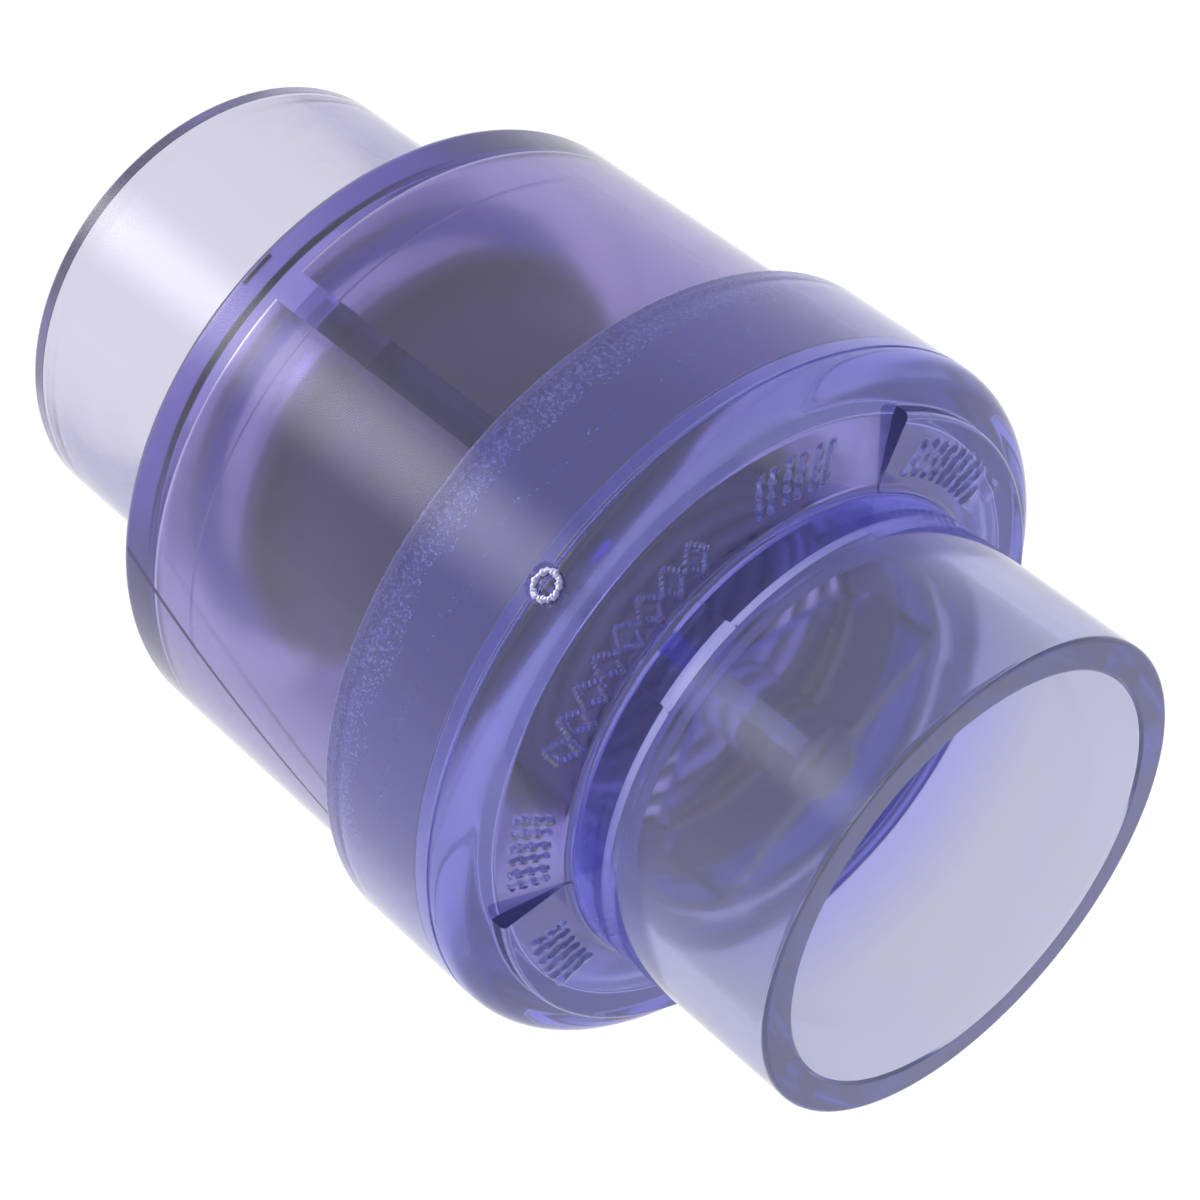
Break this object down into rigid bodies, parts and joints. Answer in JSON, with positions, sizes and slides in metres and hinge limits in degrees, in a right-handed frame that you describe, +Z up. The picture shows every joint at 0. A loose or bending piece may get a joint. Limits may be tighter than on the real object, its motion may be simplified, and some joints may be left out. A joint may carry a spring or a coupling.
{
  "type": "spring check valve",
  "caption": "Clear in-line spring check valve with slip sockets for 2-inch pipe; a sprung poppet lets water through one way only.",
  "frame": {"origin": "on the flow axis, half way between the two socket faces", "axes": "+X along the flow axis, from inlet to outlet; +Z up"},
  "size_m": [0.153, 0.1032, 0.1032],
  "materials": {
    "clear_pvc": "clear violet-tinted rigid PVC, moulded, glossy",
    "cured_cement": "cured solvent cement, slightly frosted",
    "grey_plastic": "dark grey moulded plastic, satin",
    "seal_rubber": "black elastomer",
    "stainless": "stainless steel, drawn and turned"
  },
  "bodies": {
    "valve_body": {"inlet_body": "clear_pvc", "outlet_cap": "clear_pvc", "joint_bead": "cured_cement", "spring_spider": "clear_pvc", "spring": "stainless"},
    "poppet": {"poppet_cup": "grey_plastic", "poppet_seal": "seal_rubber", "seal_retainer": "grey_plastic", "screw_washer": "stainless", "retainer_screw": "stainless", "spring_seat": "stainless"}
  },
  "joints": [
    {"name": "poppet_lift", "type": "slide", "parent": "valve_body", "child": "poppet", "axis": [1, 0, 0], "range_m": [0, 0.0084], "stiffness_N_per_m": 250, "springref_m": -0.012, "deforming": ["spring"]}
  ]
}
